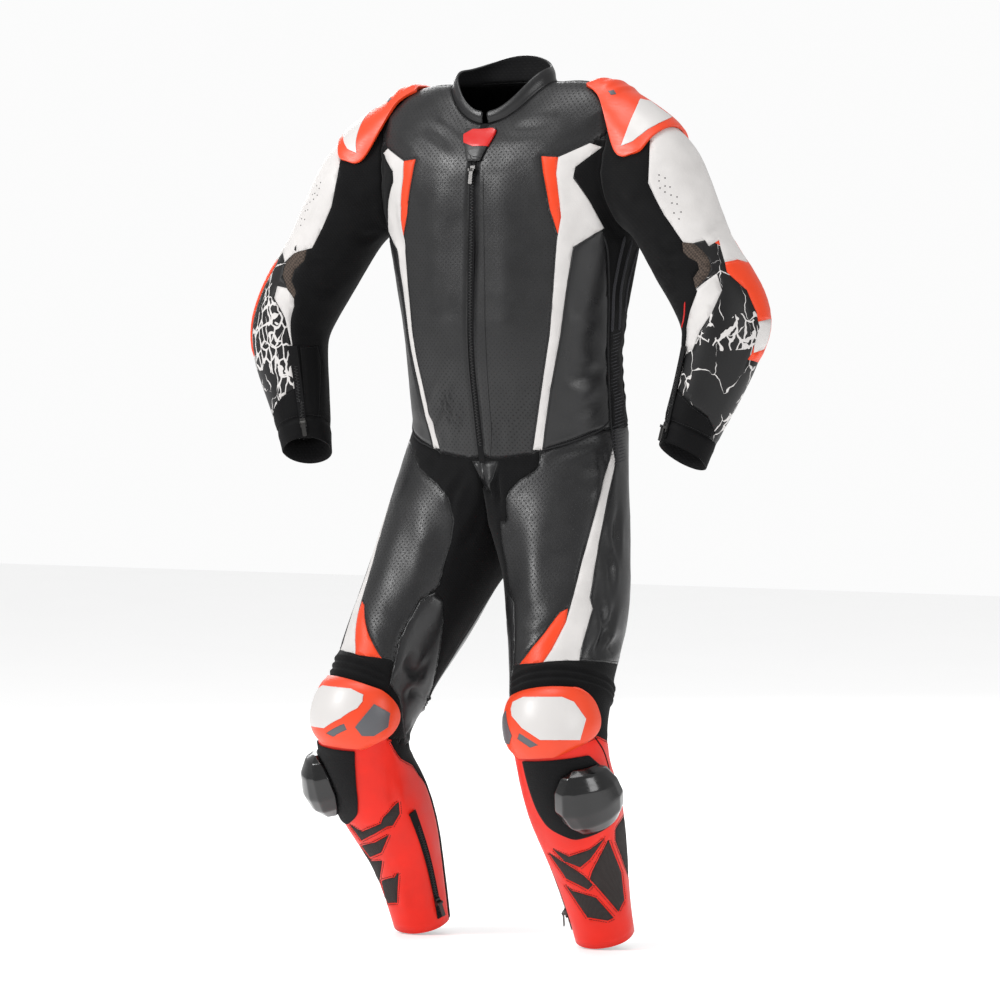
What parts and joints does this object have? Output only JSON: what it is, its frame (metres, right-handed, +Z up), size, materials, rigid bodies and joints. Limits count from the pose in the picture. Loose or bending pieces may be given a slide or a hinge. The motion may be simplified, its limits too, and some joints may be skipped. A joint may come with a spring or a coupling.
{
  "type": "motorcycle race suit",
  "caption": "One-piece leather motorcycle race suit with armoured shoulders, elbows and knees, knee sliders and a front zip, filled out with no wearer.",
  "frame": {"origin": "in the neck opening, level with the shoulders, where a wearer or hanger carries the suit", "axes": "+Z up, the suit's front faces -Y, the wearer's left is +X"},
  "size_m": [0.9242, 0.3832, 1.3694],
  "materials": {
    "black_leather": "satin, finely perforated",
    "black_stretch": "matte stretch cloth",
    "orange_leather": "satin",
    "white_leather": "satin",
    "red_leather": "satin",
    "grey_aramid": "matte woven",
    "printed_leather": "satin white leather with a black print",
    "grey_cuff": "matte",
    "hook_and_loop": "fuzzy",
    "gloss_black": "gloss",
    "orange_moulding": "satin",
    "garage_black": "satin",
    "zip_metal": "dark metal"
  },
  "bodies": {
    "suit": {"front_left": "black_leather", "chest_wedge_left": "orange_leather", "inlay_left": "white_leather", "side_front_left": "black_leather", "side_stretch_left": "black_stretch", "front_right": "black_leather", "chest_wedge_right": "orange_leather", "inlay_right": "white_leather", "side_front_right": "black_leather", "side_stretch_right": "black_stretch", "back_yoke": "black_leather", "back_lower": "black_stretch", "collar": "black_leather", "sleeve_upper_left": "white_leather", "sleeve_inner_left": "black_stretch", "elbow_patch_left": "grey_aramid", "elbow_left": "orange_leather", "forearm_left": "printed_leather", "cuff_left": "grey_cuff", "sleeve_upper_right": "white_leather", "sleeve_inner_right": "black_stretch", "elbow_patch_right": "grey_aramid", "elbow_right": "orange_leather", "forearm_right": "printed_leather", "cuff_right": "grey_cuff", "thigh_front_left": "black_leather", "thigh_wedge_left": "orange_leather", "thigh_stripe_left": "white_leather", "thigh_outer_left": "black_leather", "shin_left": "red_leather", "inner_thigh_left": "black_stretch", "calf_left": "black_stretch", "knee_panel_left": "black_stretch", "thigh_front_right": "black_leather", "thigh_wedge_right": "orange_leather", "thigh_stripe_right": "white_leather", "thigh_outer_right": "black_leather", "shin_right": "red_leather", "inner_thigh_right": "black_stretch", "calf_right": "black_stretch", "knee_panel_right": "black_stretch", "knee_cup_left": "orange_leather", "hook_patch_left": "hook_and_loop", "knee_cup_right": "orange_leather", "hook_patch_right": "hook_and_loop", "shoulder_cup_left": "orange_moulding", "shoulder_cup_right": "orange_moulding", "front_zip": "zip_metal", "calf_zip_left": "zip_metal", "wrist_zip_left": "zip_metal", "calf_zip_right": "zip_metal", "wrist_zip_right": "zip_metal", "zip_garage": "garage_black"},
    "front_pull": {"front_pull": "zip_metal"},
    "calf_pull_left": {"calf_pull_left": "zip_metal"},
    "calf_pull_right": {"calf_pull_right": "zip_metal"},
    "wrist_pull_left": {"wrist_pull_left": "zip_metal"},
    "wrist_pull_right": {"wrist_pull_right": "zip_metal"},
    "knee_slider_left": {"knee_slider_left": "gloss_black"},
    "knee_slider_right": {"knee_slider_right": "gloss_black"}
  },
  "joints": [
    {"name": "front_pull_hinge", "type": "hinge", "parent": "suit", "child": "front_pull", "pos_m": [0, -0.1267, -0.09785], "axis": [-1, 0, 0], "range_deg": [0, 150]},
    {"name": "calf_pull_hinge_left", "type": "hinge", "parent": "suit", "child": "calf_pull_left", "pos_m": [0.11239, -0.04039, -1.23453], "axis": [-0.3239, 0.882, 0.3423], "range_deg": [-11.44, 138.56]},
    {"name": "calf_pull_hinge_right", "type": "hinge", "parent": "suit", "child": "calf_pull_right", "pos_m": [-0.11239, -0.04039, -1.23453], "axis": [-0.3239, -0.882, -0.3423], "range_deg": [-11.44, 138.56]},
    {"name": "wrist_pull_hinge_left", "type": "hinge", "parent": "suit", "child": "wrist_pull_left", "pos_m": [0.32507, -0.10705, -0.48544], "axis": [-0.8458, 0.5055, 0.1705], "range_deg": [0, 150]},
    {"name": "wrist_pull_hinge_right", "type": "hinge", "parent": "suit", "child": "wrist_pull_right", "pos_m": [-0.32507, -0.10705, -0.48544], "axis": [-0.8458, -0.5055, -0.1705], "range_deg": [0, 150]},
    {"name": "knee_slider_lift_left", "type": "slide", "parent": "suit", "child": "knee_slider_left", "axis": [0.8388, -0.4706, -0.2738], "range_m": [0, 0.04]},
    {"name": "knee_slider_lift_right", "type": "slide", "parent": "suit", "child": "knee_slider_right", "axis": [-0.8388, -0.4706, -0.2738], "range_m": [0, 0.04]}
  ]
}
